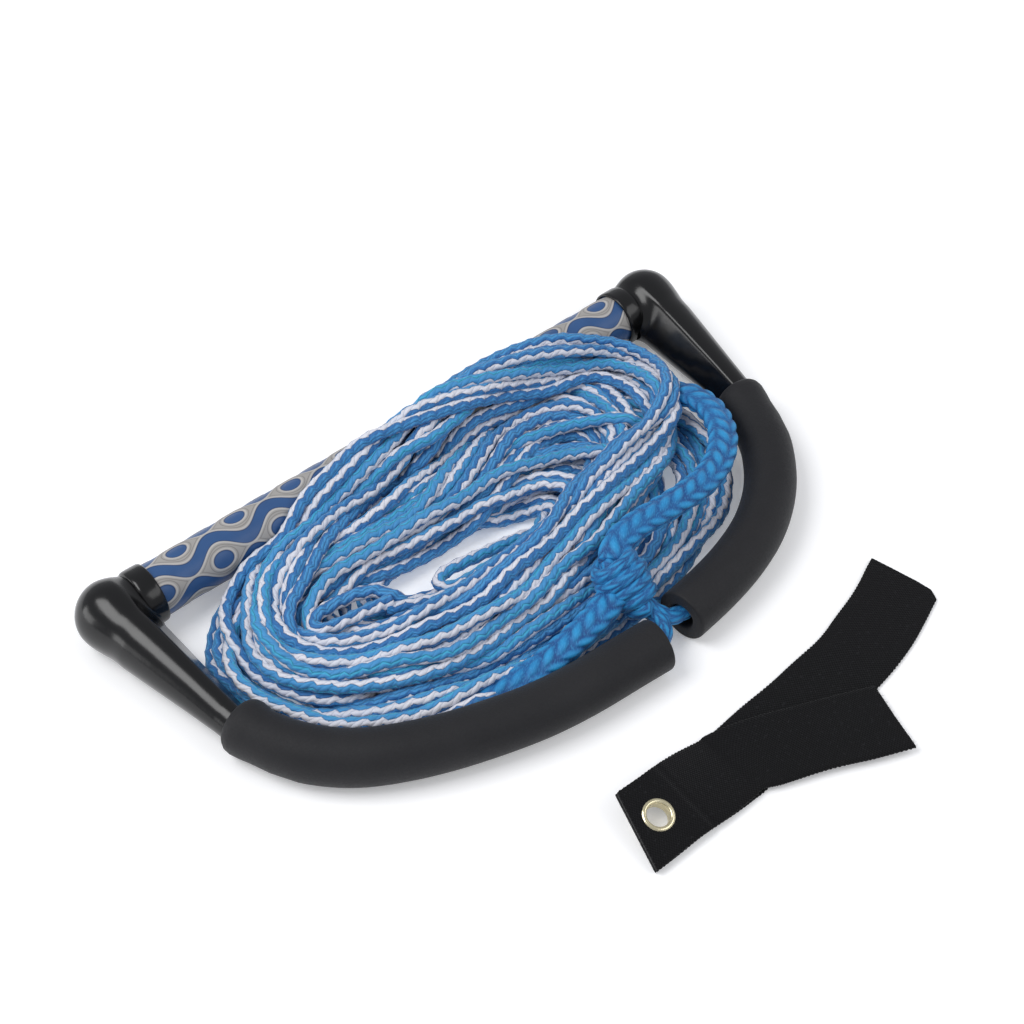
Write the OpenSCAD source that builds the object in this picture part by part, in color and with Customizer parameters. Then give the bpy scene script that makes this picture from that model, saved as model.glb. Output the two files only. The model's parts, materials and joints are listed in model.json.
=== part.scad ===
// Tow rope handle: a grip bar with a floating rope bridle, its coiled tow rope and a loose rope keeper strap.
// Everything lies on the plane z = 0. +X runs along the grip, +Y points from the bridle to the grip.

/* [Grip bar] */
// Distance between the two elbow centres
elbow_span = 346; // [340:1:350]
// Diameter of the moulded grip
grip_d = 28; // [26:0.5:29]
// Outer diameter of the bar tube
tube_d = 22; // [19:0.5:23]
// Wall of the bar tube
tube_wall = 2; // [1.5:0.25:3]
// Height of the bar's axis above the ground
bar_z = 17; // [16:0.5:18]

/* [Bridle] */
// Diameter of the bridle rope
bridle_d = 8; // [6:0.5:8]
// Outer diameter of the foam floats
float_d = 27; // [25:0.5:27]
// Bore of the foam floats
float_bore_d = 15; // [12:0.5:16]
// Depth of the bridle, from the bar's axis to its apex
bridle_depth = 177; // [176:1:180]
// Where the left float ends, to the right of the middle
float_left_end = 19; // [10:1:22]
// Where the right float ends, to the right of the middle
float_right_end = 38; // [36:1:50]

/* [Tow rope] */
// Diameter of the solid-colour leader rope
leader_d = 11; // [8:0.5:11]
// Height of the whole pile of turns
pile_h = 46; // [38:1:48]

/* [Keeper strap] */
// Width of the webbing
web_w = 38; // [34:1:40]
// Thickness of one layer of webbing
web_t = 2; // [1.5:0.1:2.2]
// Diameter of the grommet's hole
grommet_hole_d = 11; // [9:0.5:12]
// Diameter of the grommet's flange
grommet_flange_d = 16.5; // [15:0.5:18]

/* [Hidden] */
$fn = 96;

// The bar's distance behind the origin, which is under the middle of the whole set
bar_y = 138;

// Grip and end caps
elbow_x = elbow_span / 2;
sleeve_half = 153;
tube_half = 160;
collar_face = 150;
collar_end = 165;
collar_r = grip_d / 2 + 1.6;
cap_top = 2 * bar_z;
neck_r = collar_r - 1.6;
elbow_half = [15, 19, bar_z];
arm_root_half = [13.5, 17, bar_z];
arm_middle = [elbow_x - 4, -40, 15.6];
arm_middle_half = [10.8, 9, 13.5];
arm_tip = [162.4, -87, 13.7];
arm_tip_half = [9.4, 8.4];
rope_channel_r = bridle_d / 2 + 0.5;
part_gap = 0.4;
elbow_room_r = 11;

// The lower turns end level with the top of the grip, and the upper turns start there
grip_top = bar_z + grip_d / 2 + part_gap;

// The fold of the bridle is about the line through the two arm tips
fold_y = -90;

// The bridle's centre line is a wide arc across the front and a tight one at each side
float_z = float_d / 2;
wide_r = 286;
wide_centre_y = wide_r - bridle_depth;
side_angle = 22.6;
side_r = 86.5;
side_centre = [(wide_r - side_r) * sin(side_angle), wide_centre_y - (wide_r - side_r) * cos(side_angle)];
mouth_angle = asin((side_centre[1] - fold_y + 1) / side_r);
mouth_flare_r = 10.7;
mouth_flare_len = 6;

// Knot and leader
knot_r = 12.5;
knot_x = [8, 36];
knot_pos = [-152, 24];
leader_route = [
    [6.5, -152, 22], [-8, -153, 20], [-30, -153, 15], [-52, -149, 11], [-74, -142, 8], [-92, -130, 6.5],
    [-92, -114, 6], [-72, -106, 6], [-36, -104, 6], [0, -104, 6], [36, -102, 6], [66, -92, 6],
    [92, -76, 6], [116, -64, 6.5], [134, -68, 9], [140, -84, 12], [137, -99, 16], [128, -114, 21],
    [112, -125, 26], [92, -133, 30], [70, -140, 33], [52, -146, 32], [40, -151, 30]];
bridle_left_route = [[20, -175, 14.5], [23, -167, 18], [24, -158, 21]];
bridle_right_route = [[37, -173, 14.5], [31, -167, 17], [28, -158, 21]];

// The coil's plan: discs [x, y, radius] that are joined into one outline
lower_discs = [[-82, -78, 61], [-10, -86, 60], [70, -78, 62]];
upper_discs = [[-66, -68, 60], [64, -54, 62]];
hole_discs = [[-52, -78, 12], [20, -84, 11]];
lower_slot_back = -136;
upper_slot_back = -126;
slot_room = 2;

// Spliced eye at the boat end of the rope
eye_ends = [[-98, -70], [-68, -73]];
eye_r = 6;
eye_rope_d = 6;
eye_z = 17;

// Keeper strap stations: [x, y, heading, tilt, height of the lower edge above the ground]
layer_gap = 0.15;
second_layer = web_t + layer_gap;
tape_t = 0.7;
tape_margin = 3;
tail_lift = second_layer + part_gap;
taped_lift = web_t + part_gap + tape_t + layer_gap;
lower_layer_route = [
    [-60, -246.5, 0, 17, 0], [-34, -246.5, 0, 17, 0], [-24, -246.5, 0, 12, 0], [-12, -246.5, 0, 5, 0],
    [-2, -246.5, 0, 0, 0], [4, -246.5, 0, 0, 0], [30, -244.5, 4, 0, 0], [60, -242, 5, 0, 0],
    [86, -239.5, 8, 0, 0], [104, -235.5, 15, 0, 0], [124, -229.5, 18, 0, 0], [146.5, -220.5, 18, 0, 0]];
top_base_route = [
    [-60, -246.5, 0, 17, second_layer], [-34, -246.5, 0, 17, second_layer],
    [-24, -246.5, 0, 12, second_layer], [-12, -246.5, 0, 5, second_layer],
    [-2, -246.5, 0, 0, second_layer], [4, -246.5, 0, 0, second_layer]];
top_tail_route = [
    [4.6, -246.5, 0, 0, tail_lift], [20, -252, -20, 0, tail_lift], [42, -261, -22, 0, taped_lift],
    [60, -269, -20, 0, taped_lift], [77.5, -276.5, -17, 0, taped_lift]];
tape_stations = [2, 3, 4];
grommet_pos = [-46.5, -246.5];
grommet_tilt = 17;
grommet_wall = 0.8;
flange_t = 0.9;
// Half the thickness of the two layers between the flange and the washer
clamped_half = web_t + layer_gap / 2;

// Points and tangents of a smooth curve through the points of a route
function spline(a, b, c, d, t) = 0.5 * (2 * b + (c - a) * t + (2 * a - 5 * b + 4 * c - d) * t * t
    + (3 * b - a - 3 * c + d) * t * t * t);
function knot_at(p, i) = p[max(0, min(len(p) - 1, i))];
function smooth_route(p, steps) = [
    for (i = [0 : len(p) - 2]) for (k = [0 : steps - 1])
        spline(knot_at(p, i - 1), p[i], p[i + 1], knot_at(p, i + 2), k / steps),
    p[len(p) - 1]];
function unit(v) = v / norm(v);
function tangent(p, i) = unit(knot_at(p, i + 1) - knot_at(p, i - 1));
function flat_side(t) = unit([t[1], -t[0], 0]);
function ring_at(p, i, r, sides) = let (t = tangent(p, i), s = flat_side(t), u = cross(s, t))
    [for (k = [0 : sides - 1]) p[i] + r * (cos(360 * k / sides) * s + sin(360 * k / sides) * u)];

// A closed skin over a list of rings that have the same number of points. The diagonals of its second
// half run the other way, so that a twisted strip's upper and lower faces match and strips can stack.
module skin(rings) {
    n = len(rings[0]);
    last = len(rings) - 1;
    walls = [
        for (i = [0 : last - 1]) for (k = [0 : n - 1])
            let (a = i * n + k, b = i * n + (k + 1) % n, c = b + n, d = a + n)
                each (k < n / 2 ? [[a, b, c], [a, c, d]] : [[a, b, d], [b, c, d]])];
    start_cap = [for (k = [n - 1 : -1 : 0]) k];
    end_cap = [for (k = [0 : n - 1]) last * n + k];
    polyhedron([for (r = rings) for (q = r) q], concat(walls, [start_cap, end_cap]), convexity = 10);
}

module rope_tube(route, d, sides = 10) {
    skin([for (i = [0 : len(route) - 1]) ring_at(route, i, d / 2, sides)]);
}

// One station of webbing of thickness t and width w, lifted by the given height
function web_section(s, t, w, lift) =
    let (across = [-sin(s[2]) * cos(s[3]), cos(s[2]) * cos(s[3]), sin(s[3])],
        up = [sin(s[2]) * sin(s[3]), -cos(s[2]) * sin(s[3]), cos(s[3])],
        mid = [s[0], s[1], web_w / 2 * sin(s[3])] + up * (lift + t / 2))
    [mid - across * w / 2 - up * t / 2, mid - across * w / 2 + up * t / 2,
        mid + across * w / 2 + up * t / 2, mid + across * w / 2 - up * t / 2];

module web_strip(route) {
    skin([for (s = route) web_section(s, web_t, web_w, s[4])]);
}

// Places a shape from the bar's own line: x along the bar, y from its axis, z from the ground
module at_bar() {
    translate([0, bar_y, 0]) children();
}

module along_x(from, to, r) {
    translate([from, 0, bar_z]) rotate([0, 90, 0]) cylinder(r = r, h = to - from);
}

module bar_tube() {
    color("silver") at_bar() difference() {
        along_x(-tube_half, tube_half, tube_d / 2);
        along_x(-tube_half - 1, tube_half + 1, tube_d / 2 - tube_wall);
    }
}

module grip_sleeve() {
    color("steelblue") at_bar() difference() {
        along_x(-sleeve_half, sleeve_half, grip_d / 2);
        along_x(-sleeve_half - 1, sleeve_half + 1, tube_d / 2);
    }
}

// A flattened ball with the given half sizes
module oval(pos, half) {
    translate(pos) scale(half) sphere(r = 1, $fn = 32);
}

module end_cap_body() {
    along_x(collar_face, collar_end, collar_r);
    hull() {
        along_x(collar_end - 1, collar_end + 2, neck_r, $fn = 32);
        oval([elbow_x, 0, bar_z], elbow_half);
    }
    hull() {
        oval([elbow_x, 0, bar_z], arm_root_half);
        oval(arm_middle, arm_middle_half);
    }
    hull() {
        oval(arm_middle, arm_middle_half);
        translate(arm_tip) rotate([-90, 0, 0])
            scale([arm_tip_half[0], arm_tip_half[1], 1]) cylinder(r = 1, h = 1.5, $fn = 32);
    }
}

// The right cap: a collar over the bar, an elbow, and an arm that the bridle rope comes out of
module end_cap() {
    arm = arm_tip - [elbow_x, 0, bar_z];
    difference() {
        end_cap_body();
        along_x(collar_face - 1, sleeve_half + part_gap, grip_d / 2);
        along_x(collar_face - 1, tube_half + part_gap, tube_d / 2);
        along_x(tube_half - 1, elbow_x, rope_channel_r);
        translate([elbow_x - 3, -3, bar_z]) sphere(r = elbow_room_r);
        translate([elbow_x, 0, bar_z]) rotate([0, 0, atan2(arm[1], arm[0])])
            rotate([0, 90 - atan2(arm[2], norm([arm[0], arm[1]])), 0])
                cylinder(r = rope_channel_r, h = norm(arm) + 5);
    }
}

module end_cap_right() {
    color("black") at_bar() end_cap();
}

module end_cap_left() {
    color("black") at_bar() mirror([1, 0, 0]) end_cap();
}

// The rope's own line inside the bar and one arm, from the middle of the bar out
function core_half(side) = [
    [side * 150, 0, bar_z], [side * (elbow_x - 13), 0, bar_z], [side * (elbow_x - 5.5), -2, bar_z],
    [side * (elbow_x - 1.7), -7, bar_z - 0.2], [side * (elbow_x - 1.8), -15, bar_z - 0.6],
    [side * 167.5, -45, 15.3], [side * arm_tip[0], arm_tip[1], arm_tip[2]]];

module bridle_rope_core() {
    left = core_half(-1);
    right = core_half(1);
    route = concat([for (i = [len(left) - 1 : -1 : 0]) left[i]], right);
    color("dodgerblue") at_bar() rope_tube(route, bridle_d);
}

// A point of the bridle's centre line: a is the angle round the wide arc, then round the side arc
function wide_point(a) = [wide_r * sin(a), wide_centre_y - wide_r * cos(a), float_z];
function side_point(a) = [side_centre[0] + side_r * sin(a), side_centre[1] - side_r * cos(a), float_z];

// The bridle's line on the right, from the arm tip to x = end_x, shortened by an angle at each end
function bridle_line(end_x, mouth_inset, end_inset) =
    let (from = 90 - mouth_angle - mouth_inset, to = asin(end_x / wide_r) + end_inset)
        concat([for (k = [0 : 12]) side_point(from - (from - side_angle) * k / 12)],
            [for (k = [1 : 10]) wide_point(side_angle - (side_angle - to) * k / 10)]);
function mirrored(p) = [for (q = p) [-q[0], q[1], q[2]]];

module bridle_rope_left() {
    color("dodgerblue") at_bar()
        rope_tube(concat(mirrored(bridle_line(-float_left_end, 2, 1.5)), bridle_left_route), bridle_d);
}

module bridle_rope_right() {
    color("dodgerblue") at_bar()
        rope_tube(concat(bridle_line(float_right_end, 2, 1.5), bridle_right_route), bridle_d);
}

// A right-hand float: a foam tube along the bridle's line, flared inside its mouth for the arm tip
module foam_float(end_x) {
    difference() {
        rope_tube(bridle_line(end_x, 0, 0), float_d, 24);
        rope_tube(bridle_line(end_x, -3, -2), float_bore_d, 24);
        translate(side_point(90 - mouth_angle) + [0, 2, 0]) rotate([90, 0, -mouth_angle])
            cylinder(r1 = mouth_flare_r + 1, r2 = float_bore_d / 2, h = mouth_flare_len + 2);
    }
}

module float_left() {
    color("dimgray") at_bar() mirror([1, 0, 0]) foam_float(-float_left_end);
}

module float_right() {
    color("dimgray") at_bar() foam_float(float_right_end);
}

module bridle_knot() {
    color("deepskyblue") at_bar() translate([knot_x[0], knot_pos[0], knot_pos[1]])
        rotate([0, 90, 0]) cylinder(r = knot_r, h = knot_x[1] - knot_x[0]);
}

module leader_loop() {
    color("deepskyblue") at_bar() rope_tube(smooth_route(leader_route, 2), leader_d);
}

// An outline round a list of discs
module round_discs(discs) {
    hull() for (d = discs) translate([d[0], d[1]]) circle(r = d[2]);
}

// A slot for the knot, deep enough for it to swing up with the bridle
module knot_slot(back_y) {
    translate([knot_x[0] - slot_room, -200, -1])
        cube([knot_x[1] - knot_x[0] + 2 * slot_room, 200 + back_y, pile_h + 2]);
}

// The turns that lie on the ground between the grip and the floats
module coil_lower_turns() {
    color("cornflowerblue") at_bar() difference() {
        linear_extrude(grip_top) difference() {
            round_discs(lower_discs);
            translate([-200, -grip_d / 2 - 1]) square([400, 100]);
            round_discs(hole_discs);
        }
        knot_slot(lower_slot_back);
    }
}

// The turns on top of the pile, which reach over the grip
module coil_upper_turns() {
    color("lightskyblue") at_bar() difference() {
        translate([0, 0, grip_top]) linear_extrude(pile_h - grip_top) difference() {
            round_discs(upper_discs);
            round_discs(hole_discs);
        }
        knot_slot(upper_slot_back);
    }
}

// A long round-ended outline, for the spliced eye
module eye_outline(r) {
    hull() {
        translate(eye_ends[0]) circle(r = r, $fn = 32);
        translate(eye_ends[1]) circle(r = r, $fn = 32);
    }
}

// The spliced eye at the boat end of the rope, lying flat at the left end of the coil's hole
module boat_end_eye() {
    color("lightskyblue") at_bar() translate([0, 0, eye_z]) linear_extrude(eye_rope_d) difference() {
        eye_outline(eye_r + eye_rope_d / 2);
        eye_outline(eye_r - eye_rope_d / 2);
    }
}

module in_grommet_frame() {
    mid_height = web_w / 2 * sin(grommet_tilt) + clamped_half * cos(grommet_tilt);
    translate([grommet_pos[0], grommet_pos[1] - clamped_half * sin(grommet_tilt), mid_height])
        rotate([grommet_tilt, 0, 0]) children();
}

// The hole punched through both layers for the grommet's barrel
module grommet_punch() {
    in_grommet_frame() translate([0, 0, -10]) cylinder(d = grommet_hole_d + 2 * grommet_wall, h = 20);
}

module strap_lower_layer() {
    color("#1c1c20") at_bar() difference() {
        web_strip(lower_layer_route);
        grommet_punch();
    }
}

module strap_top_base() {
    color("#242428") at_bar() difference() {
        web_strip(top_base_route);
        grommet_punch();
    }
}

module strap_top_tail() {
    color("#242428") at_bar() web_strip(top_tail_route);
}

// Hook tape under the far part of the upper tail, which presses on the lower tail when the strap is closed
module hook_tape() {
    color("#101012") at_bar() skin([for (i = tape_stations) let (s = top_tail_route[i])
        web_section(s, tape_t, web_w - 2 * tape_margin, s[4] - tape_t - layer_gap)]);
}

module grommet() {
    color("khaki") at_bar() in_grommet_frame() difference() {
        union() {
            translate([0, 0, clamped_half]) cylinder(d = grommet_flange_d, h = flange_t);
            translate([0, 0, -clamped_half - flange_t])
                cylinder(d = grommet_hole_d + 2 * grommet_wall, h = 2 * (clamped_half + flange_t));
        }
        translate([0, 0, -10]) cylinder(d = grommet_hole_d, h = 20);
    }
}

module grommet_washer() {
    color("darkkhaki") at_bar() in_grommet_frame() translate([0, 0, -clamped_half - flange_t])
        difference() {
            cylinder(d = grommet_flange_d, h = flange_t);
            translate([0, 0, -1]) cylinder(d = grommet_hole_d + 2 * grommet_wall, h = flange_t + 2);
        }
}

bar_tube();
grip_sleeve();
end_cap_left();
end_cap_right();
bridle_rope_core();
bridle_rope_left();
bridle_rope_right();
float_left();
float_right();
bridle_knot();
leader_loop();
coil_lower_turns();
coil_upper_turns();
boat_end_eye();
strap_lower_layer();
strap_top_base();
strap_top_tail();
hook_tape();
grommet();
grommet_washer();
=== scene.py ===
"""The looks of a tow rope handle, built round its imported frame.

Shapes are worked out in millimetres from the bar's own line: x along the bar, y from its axis
(the bridle is at negative y), z from the ground. row() turns them into the frame's metres.
"""

import json
import math

import bpy
import numpy as np
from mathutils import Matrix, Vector


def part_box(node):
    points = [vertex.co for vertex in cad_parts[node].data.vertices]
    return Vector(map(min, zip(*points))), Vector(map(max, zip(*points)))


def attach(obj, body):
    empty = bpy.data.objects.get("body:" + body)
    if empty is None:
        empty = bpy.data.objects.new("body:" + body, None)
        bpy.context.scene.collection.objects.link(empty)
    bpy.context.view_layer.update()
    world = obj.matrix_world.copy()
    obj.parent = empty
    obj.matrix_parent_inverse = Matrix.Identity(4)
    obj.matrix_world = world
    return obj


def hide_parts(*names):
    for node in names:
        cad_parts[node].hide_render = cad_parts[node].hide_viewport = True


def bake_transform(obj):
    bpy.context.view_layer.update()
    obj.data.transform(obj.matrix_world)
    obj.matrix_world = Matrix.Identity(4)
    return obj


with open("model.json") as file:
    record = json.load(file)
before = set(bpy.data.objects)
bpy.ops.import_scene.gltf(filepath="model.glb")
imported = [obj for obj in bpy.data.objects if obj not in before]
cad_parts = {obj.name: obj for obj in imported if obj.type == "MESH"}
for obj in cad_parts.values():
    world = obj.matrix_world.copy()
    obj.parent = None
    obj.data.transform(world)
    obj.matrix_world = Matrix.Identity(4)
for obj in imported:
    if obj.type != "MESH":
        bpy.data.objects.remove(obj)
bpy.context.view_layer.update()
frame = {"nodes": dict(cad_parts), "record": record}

MM = 0.001
UP = np.array([0, 0, 1.0])
SLEEVE_LO, SLEEVE_HI = [np.array(c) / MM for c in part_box("grip_sleeve")]
BAR_Y = (SLEEVE_LO[1] + SLEEVE_HI[1]) / 2
BAR_Z = (SLEEVE_LO[2] + SLEEVE_HI[2]) / 2
GRIP_R = (SLEEVE_HI[2] - SLEEVE_LO[2]) / 2
SLEEVE_HALF = (SLEEVE_HI[0] - SLEEVE_LO[0]) / 2
EYE_POINT = np.array([-407.1, -574.9, 747.8])
LOOKS_AT = np.array([26.0, -60.7, 0.0])
LENS_MM = 68.96


def row(p):
    """Millimetres from the bar's line to metres in the frame."""
    return (np.asarray(p, float) + [0, BAR_Y, 0]) * MM


def unit(v):
    return v / (np.linalg.norm(v, axis=-1, keepdims=True) + 1e-12)


# ---- camera, floor and light


def add_camera():
    data = bpy.data.cameras.new("camera")
    data.lens, data.sensor_width = LENS_MM, 36.0
    cam = bpy.data.objects.new("camera", data)
    bpy.context.scene.collection.objects.link(cam)
    cam.location = Vector(row(EYE_POINT))
    aim = Vector(row(LOOKS_AT)) - cam.location
    cam.rotation_euler = aim.to_track_quat("-Z", "Y").to_euler()
    bpy.context.scene.camera = cam


def add_light(name, place, aim, size, watts):
    data = bpy.data.lights.new(name, "AREA")
    data.shape = "RECTANGLE"
    data.size, data.size_y = size
    data.energy = watts
    lamp = bpy.data.objects.new(name, data)
    bpy.context.scene.collection.objects.link(lamp)
    lamp.location = place
    lamp.rotation_euler = (Vector(aim) - Vector(place)).to_track_quat("-Z", "Y").to_euler()


def add_stage():
    world = bpy.data.worlds.new("studio")
    bpy.context.scene.world = world
    world.use_nodes = True
    back = world.node_tree.nodes["Background"]
    back.inputs["Color"].default_value = (0.93, 0.95, 1.0, 1)
    back.inputs["Strength"].default_value = 0.52
    add_light("key", (-0.9, 0.5, 1.7), (0, 0, 0), (1.2, 0.9), 19)
    add_light("side", (-1.5, 0.95, 0.32), (0.17, 0.08, 0.02), (0.9, 0.5), 4.5)
    add_light("fill", (0.9, -1.2, 1.5), (0, 0, 0), (1.6, 1.0), 9)
    bpy.ops.mesh.primitive_plane_add(size=30, location=(0, 0, -0.0003))
    floor = bpy.context.object
    floor.name = "floor"
    m = Mat("floor_paper", (0.93, 0.93, 0.935), 0.7)
    m.set("Emission Color", (1, 1, 1, 1))
    m.set("Emission Strength", 0.22)
    floor.data.materials.append(m.m)
    bpy.context.scene.view_settings.view_transform = "Standard"


# ---- material helpers


def feed(tree, sock, value):
    """Links a Val to a socket, or sets a plain number or colour on the socket itself."""
    if isinstance(value, Val):
        tree.links.new(value.sock, sock)
    else:
        sock.default_value = value


def math_step(kind):
    """A method that puts one Math node after a Val."""

    def step(self, *others):
        node = self.tree.nodes.new("ShaderNodeMath")
        node.operation = kind
        for k, v in enumerate((self,) + others):
            feed(self.tree, node.inputs[k], v)
        return Val(self.tree, node.outputs[0])

    return step


class Val:
    """A number in a node tree that can be added, multiplied and so on."""

    __add__ = __radd__ = math_step("ADD")
    __sub__ = math_step("SUBTRACT")
    __mul__ = __rmul__ = math_step("MULTIPLY")
    __truediv__ = math_step("DIVIDE")
    __mod__ = math_step("FLOORED_MODULO")
    __pow__ = math_step("POWER")
    __abs__ = math_step("ABSOLUTE")
    least = math_step("MINIMUM")
    floor, fract = math_step("FLOOR"), math_step("FRACT")
    sin, cos = math_step("SINE"), math_step("COSINE")

    def __init__(self, tree, sock):
        self.tree, self.sock = tree, sock

    def __rsub__(self, o):
        return self * -1 + o

    def over(self, edge, soft):
        """0 below edge, 1 above it, turning over the width soft."""
        node = self.tree.nodes.new("ShaderNodeMapRange")
        node.interpolation_type = "SMOOTHSTEP"
        for k, v in enumerate((self, edge - soft / 2, edge + soft / 2)):
            feed(self.tree, node.inputs[k], v)
        return Val(self.tree, node.outputs[0])

    def range(self, a, b):
        """This value, from 0 to 1, turned into one from a to b."""
        return self * (b - a) + a


class Mat:
    """A procedural material on one Principled shader."""

    def __init__(self, name, colour, rough, metal=0.0, specular=0.5):
        self.m = bpy.data.materials.new(name)
        self.m.use_nodes = True
        self.tree = self.m.node_tree
        self.shader = self.tree.nodes["Principled BSDF"]
        self.set("Base Color", colour + (1,))
        self.set("Roughness", rough)
        self.set("Metallic", metal)
        self.set("Specular IOR Level", specular)
        self.m.diffuse_color = colour + (1,)

    def set(self, name, value):
        feed(self.tree, self.shader.inputs[name], value)

    def node(self, kind, inputs=(), **settings):
        node = self.tree.nodes.new("ShaderNode" + kind)
        for key, value in settings.items():
            setattr(node, key, value)
        for at, value in inputs:
            feed(self.tree, node.inputs[at], value)
        return node

    def val(self, node, output=0):
        return Val(self.tree, node.outputs[output])

    def uv(self):
        """The piece's own coordinates: along and across or round it."""
        split = self.node("SeparateXYZ", [(0, self.val(self.node("UVMap", uv_map="lay")))])
        return self.val(split), self.val(split, 1)

    def attribute(self, name):
        return self.val(self.node("Attribute", attribute_name=name), "Fac")

    def vector(self, x, y):
        return self.val(self.node("CombineXYZ", [(0, x), (1, y)]))

    def noise(self, scale, detail=2.0, at=None):
        """Noise on the object's own coordinates, or at a vector."""
        if at is None:
            at = self.val(self.node("TexCoord"), "Object")
        return self.val(self.node("TexNoise", [("Scale", scale), ("Detail", detail), ("Vector", at)]), "Fac")

    def sectors(self, fac, stops):
        """A colour for each stretch of fac, with sharp edges."""
        node = self.node("ValToRGB", [(0, fac)])
        band = node.color_ramp
        band.interpolation = "CONSTANT"
        while len(band.elements) < len(stops):
            band.elements.new(1.0)
        for e, (place, colour) in zip(band.elements, stops):
            e.position, e.color = place, colour + (1,)
        return self.val(node)

    def mix(self, fac, a, b, kind="MIX"):
        """Colour a where fac is 0 and b where it is 1."""
        inputs = [(at, v + (1,) if isinstance(v, tuple) else v) for at, v in ((0, fac), (6, a), (7, b))]
        return self.val(self.node("Mix", inputs, data_type="RGBA", blend_type=kind), 2)

    def bump(self, height, distance, strength):
        inputs = [("Distance", distance), ("Strength", strength), ("Height", height)]
        self.set("Normal", self.val(self.node("Bump", inputs)))


# ---- mesh helpers


def place(mesh, mat, body, slot, *nodes):
    """Puts a piece in the scene on its body, in place of the CAD nodes named; slot is not used. One that
    bends across a joint has no body here: its caller bakes its place into its mesh."""
    obj = bpy.data.objects.new(mesh.name, mesh)
    bpy.context.scene.collection.objects.link(obj)
    mesh.materials.append(mat.m)
    if body:
        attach(obj, body)
    if nodes:
        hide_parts(*nodes)
    return obj


def make_mesh(name, points, faces, uv=None):
    """A mesh from points in millimetres. uv holds a pair for each corner of each face; a mesh without it
    is flat-shaded."""
    mesh = bpy.data.meshes.new(name)
    mesh.from_pydata(row(points).tolist(), [], faces)
    layer = mesh.uv_layers.new(name="lay")
    if uv is not None:
        layer.data.foreach_set("uv", np.asarray(uv, np.float32).ravel())
        mesh.shade_smooth()
    return mesh


def grid_mesh(name, v, along, across, closed=False):
    """A mesh from a grid of points v[i, k] that wraps round in k. along[i, k] and across[i, k] become its
    own coordinates, with one more column than v. closed puts a fan of faces over each end."""
    n, m = v.shape[:2]
    i, k = [g.ravel() for g in np.meshgrid(np.arange(n - 1), np.arange(m), indexing="ij")]
    k1 = (k + 1) % m
    faces = np.stack([i * m + k, i * m + k1, (i + 1) * m + k1, (i + 1) * m + k], -1).tolist()
    corners = (i, k), (i, k + 1), (i + 1, k + 1), (i + 1, k)
    uv = np.stack([np.stack([along[c], across[c]], -1) for c in corners], 1).reshape(-1, 2)
    points = v.reshape(-1, 3)
    for at in (0, n - 1) if closed else ():
        centre = len(points)
        points = np.vstack([points, v[at].mean(0)])
        ring = np.arange(m)
        a, b = at * m + ring, at * m + (ring + 1) % m
        faces += np.stack([np.full(m, centre), *((b, a) if at == 0 else (a, b))], -1).tolist()
        uv = np.vstack([uv, np.tile([[along[at, 0], 0.5]], (3 * m, 1))])
    return make_mesh(name, points, faces, uv)


def ring_angles(sides):
    """How far round each of a ring's points is, from 0 to 1, with the first again at the end."""
    return np.arange(sides + 1) / sides


def ring_mesh(name, v, along, closed=False, scale=1):
    """grid_mesh for rings of points, with how far along each ring is."""
    a = ring_angles(v.shape[1]) * scale
    return grid_mesh(name, v, np.repeat(along[:, None], len(a), 1), np.repeat(a[None, :], len(v), 0), closed)


def frames(p, level=False):
    """Tangents and two sideways directions along a line, turning as little as they can, or with the
    first of the two level."""
    t = unit(np.gradient(p, axis=0))
    if level:
        side = unit(np.cross(t, UP))
        return t, side, np.cross(t, side)
    side = np.zeros_like(p)
    now = np.cross(t[0], UP)
    if np.linalg.norm(now) < 0.1:
        now = np.cross(t[0], [0, 1.0, 0])
    for q in range(len(p)):
        now = now - t[q] * now.dot(t[q])
        now = now / math.sqrt(now.dot(now))
        side[q] = now
    return t, side, np.cross(t, side)


def distance_along(p):
    return np.r_[0, np.cumsum(np.linalg.norm(np.diff(p, axis=0), axis=1))]


def at_distances(at, s, p):
    """p's columns at distances at, where s holds the distance at each of p's rows."""
    return np.stack([np.interp(at, s, p[:, q]) for q in range(p.shape[1])], -1)


def resample(p, step):
    """Points at even steps along a line."""
    s = distance_along(p)
    return at_distances(np.linspace(0, s[-1], max(2, int(round(s[-1] / step))) + 1), s, p)


def smooth_line(points, per=12, tension=0.5):
    """A smooth line near given points, between a B-spline and one right through them."""
    p = np.asarray(points, float)
    p = np.vstack([2 * p[0] - p[1], p, 2 * p[-1] - p[-2]])
    steps = np.arange(per) / per
    out = [spline_point(*p[q - 1 : q + 3], u, tension) for q in range(1, len(p) - 2) for u in steps]
    return np.array(out + [p[-2]])


def spline_point(a, b, c, d, u, through):
    """A point between b and c: on a B-spline where through is 0, and right through b and c where it is 1."""
    loose = ((1 - u) ** 3 * a + (3 * u**3 - 6 * u**2 + 4) * b
             + (-3 * u**3 + 3 * u**2 + 3 * u + 1) * c + u**3 * d) / 6
    tight = 0.5 * (2 * b + (c - a) * u + (2 * a - 5 * b + 4 * c - d) * u * u + (3 * b - a - 3 * c + d) * u**3)
    return through * tight + (1 - through) * loose


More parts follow.
